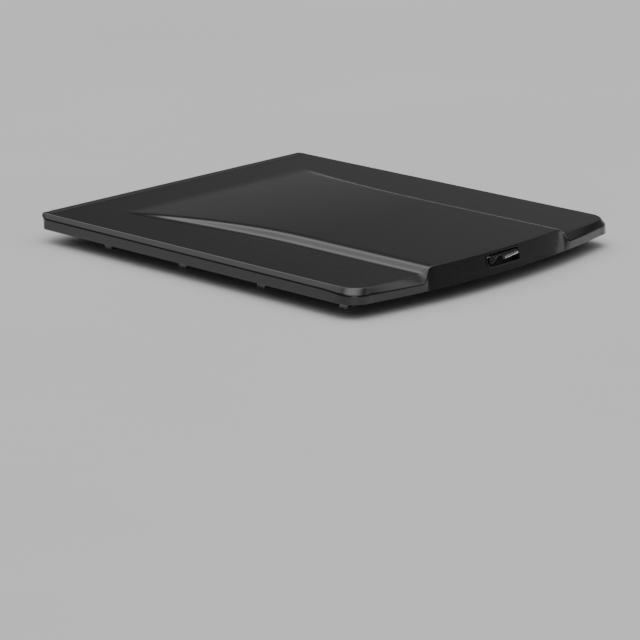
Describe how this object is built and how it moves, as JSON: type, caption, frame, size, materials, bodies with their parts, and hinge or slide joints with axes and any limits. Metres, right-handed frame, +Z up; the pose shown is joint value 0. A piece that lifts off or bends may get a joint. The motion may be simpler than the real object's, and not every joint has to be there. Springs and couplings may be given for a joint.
{
  "type": "tonneau cover",
  "caption": "Front-hinged one-piece hard cover for a pickup bed, with a raised centre panel, clamp-on rails, gas struts, a paddle handle and rotary latches.",
  "frame": {"origin": "middle of the footprint, on the plane of the clamp feet", "axes": "+X to the truck's right, +Y forward to the cab, +Z up"},
  "size_m": [1.85, 2.152, 0.176],
  "materials": {
    "gloss_black_paint": "gloss clear coat over black paint",
    "core_honeycomb": "resin-dipped paper honeycomb",
    "panel_black": "grained",
    "handle_black": "gloss",
    "satin_chrome": "satin",
    "lock_black": "black",
    "rail_black": "black anodised",
    "cast_alloy": "cast, tumbled",
    "zinc_steel": "zinc plated",
    "yellow_zinc": "yellow zinc plated",
    "bracket_steel": "black powder coat",
    "bush_nylon": "natural nylon",
    "seal_rubber": "matt",
    "strut_black": "satin black",
    "strut_chrome": "polished",
    "end_plastic": "moulded",
    "lamp_white": "moulded",
    "lamp_lens": "opal"
  },
  "bodies": {
    "bed_frame": {"side_rail_l": "rail_black", "side_rail_r": "rail_black", "header_rail": "rail_black", "corner_brackets": "zinc_steel", "frame_bolts": "zinc_steel", "rail_tape": "seal_rubber", "clamp_bodies": "cast_alloy", "clamp_jaws": "cast_alloy", "clamp_bolts": "zinc_steel", "hinge_brackets": "bracket_steel", "hinge_pins": "zinc_steel", "hinge_clips": "zinc_steel", "strut_rail_brackets": "bracket_steel", "rail_ball_studs": "zinc_steel", "striker_brackets": "bracket_steel", "striker_bars": "zinc_steel"},
    "lid": {"lid_skin": "gloss_black_paint", "core_panel": "core_honeycomb", "inner_panel": "panel_black", "cross_ribs": "panel_black", "rear_beams": "panel_black", "side_seals": "seal_rubber", "tailgate_seal": "seal_rubber", "hinge_leaves": "bracket_steel", "hinge_bushes": "bush_nylon", "lid_bolts": "zinc_steel", "strut_lid_brackets": "bracket_steel", "lid_ball_studs": "zinc_steel", "bump_stops": "seal_rubber", "handle_bezel": "handle_black", "handle_pin": "zinc_steel", "lock_barrel": "lock_black", "latch_case_l": "yellow_zinc", "latch_case_r": "yellow_zinc", "latch_pivots": "zinc_steel", "bellcrank_plate": "yellow_zinc", "rod_guides": "panel_black", "lamp_base": "lamp_white"},
    "handle": {"handle": "handle_black", "handle_strip": "satin_chrome"},
    "bellcrank": {"bellcrank": "yellow_zinc"},
    "latch_rod_left": {"latch_rod_l": "zinc_steel"},
    "latch_rod_right": {"latch_rod_r": "zinc_steel"},
    "pawl_left": {"pawl_l": "yellow_zinc"},
    "pawl_right": {"pawl_r": "yellow_zinc"},
    "rotor_left": {"rotor_l": "yellow_zinc"},
    "rotor_right": {"rotor_r": "yellow_zinc"},
    "lock_plug": {"lock_plug": "lock_black"},
    "lamp_lens": {"lamp_lens": "lamp_lens"},
    "strut_tube_left": {"strut_tube_l": "strut_black", "tube_end_l": "end_plastic"},
    "strut_tube_right": {"strut_tube_r": "strut_black", "tube_end_r": "end_plastic"},
    "strut_rod_left": {"strut_rod_l": "strut_chrome", "rod_end_l": "end_plastic"},
    "strut_rod_right": {"strut_rod_r": "strut_chrome", "rod_end_r": "end_plastic"}
  },
  "joints": [
    {"name": "lid_hinge", "type": "hinge", "parent": "bed_frame", "child": "lid", "pos_m": [0, 1.03, 0.117], "axis": [-1, 0, 0], "range_deg": [0, 25]},
    {"name": "handle_pull", "type": "hinge", "parent": "lid", "child": "handle", "pos_m": [0, -1.04863, 0.14871], "axis": [-1, 0, 0], "range_deg": [0, 38], "stiffness_Nm_per_rad": 0.25, "springref_deg": -22.92},
    {"name": "bellcrank_turn", "type": "hinge", "parent": "lid", "child": "bellcrank", "pos_m": [0, -1.0175, 0.112], "axis": [0, 1, 0], "range_deg": [0, 33.2]},
    {"name": "latch_rod_left_slide", "type": "slide", "parent": "lid", "child": "latch_rod_left", "axis": [1, 0, 0], "range_m": [0, 0.0099]},
    {"name": "latch_rod_right_slide", "type": "slide", "parent": "lid", "child": "latch_rod_right", "axis": [-1, 0, 0], "range_m": [0, 0.0099]},
    {"name": "pawl_left_swing", "type": "hinge", "parent": "lid", "child": "pawl_left", "pos_m": [-0.688, -0.905, 0.096], "axis": [0, 1, 0], "range_deg": [0, 38.2]},
    {"name": "pawl_right_swing", "type": "hinge", "parent": "lid", "child": "pawl_right", "pos_m": [0.688, -0.905, 0.096], "axis": [0, -1, 0], "range_deg": [0, 38.2]},
    {"name": "rotor_left_turn", "type": "hinge", "parent": "lid", "child": "rotor_left", "pos_m": [-0.71, -0.905, 0.074], "axis": [0, 1, 0], "range_deg": [0, 70], "stiffness_Nm_per_rad": 0.05, "springref_deg": -28.65},
    {"name": "rotor_right_turn", "type": "hinge", "parent": "lid", "child": "rotor_right", "pos_m": [0.71, -0.905, 0.074], "axis": [0, -1, 0], "range_deg": [0, 70], "stiffness_Nm_per_rad": 0.05, "springref_deg": -28.65},
    {"name": "lock_turn", "type": "hinge", "parent": "lid", "child": "lock_plug", "pos_m": [-0.074, -1.05978, 0.13706], "axis": [0, 0.9703, -0.2419], "range_deg": [0, 90]},
    {"name": "lamp_press", "type": "slide", "parent": "lid", "child": "lamp_lens", "axis": [0, 0, 1], "range_m": [0, 0.002], "stiffness_N_per_m": 600, "springref_m": -0.002},
    {"name": "strut_left_swing", "type": "hinge", "parent": "bed_frame", "child": "strut_tube_left", "pos_m": [-0.7, 0.91, 0.022], "axis": [-1, 0, 0], "range_deg": [0, 28.75]},
    {"name": "strut_left_stroke", "type": "slide", "parent": "strut_tube_left", "child": "strut_rod_left", "axis": [0, -0.9717, 0.2362], "range_m": [0, 0.0612]},
    {"name": "strut_right_swing", "type": "hinge", "parent": "bed_frame", "child": "strut_tube_right", "pos_m": [0.7, 0.91, 0.022], "axis": [-1, 0, 0], "range_deg": [0, 28.75]},
    {"name": "strut_right_stroke", "type": "slide", "parent": "strut_tube_right", "child": "strut_rod_right", "axis": [0, -0.9717, 0.2362], "range_m": [0, 0.0612]}
  ],
  "couplings": [
    {"joint": "bellcrank_turn", "follows": "handle_pull", "ratio": 0.868},
    {"joint": "latch_rod_left_slide", "follows": "handle_pull", "m_per_rad": 0.0148},
    {"joint": "latch_rod_right_slide", "follows": "handle_pull", "m_per_rad": 0.0148},
    {"joint": "pawl_left_swing", "follows": "handle_pull", "ratio": 1},
    {"joint": "pawl_right_swing", "follows": "handle_pull", "ratio": 1},
    {"joint": "strut_left_swing", "follows": "lid_hinge", "ratio": 1.138},
    {"joint": "strut_left_stroke", "follows": "lid_hinge", "m_per_rad": 0.138},
    {"joint": "strut_right_swing", "follows": "lid_hinge", "ratio": 1.138},
    {"joint": "strut_right_stroke", "follows": "lid_hinge", "m_per_rad": 0.138}
  ]
}
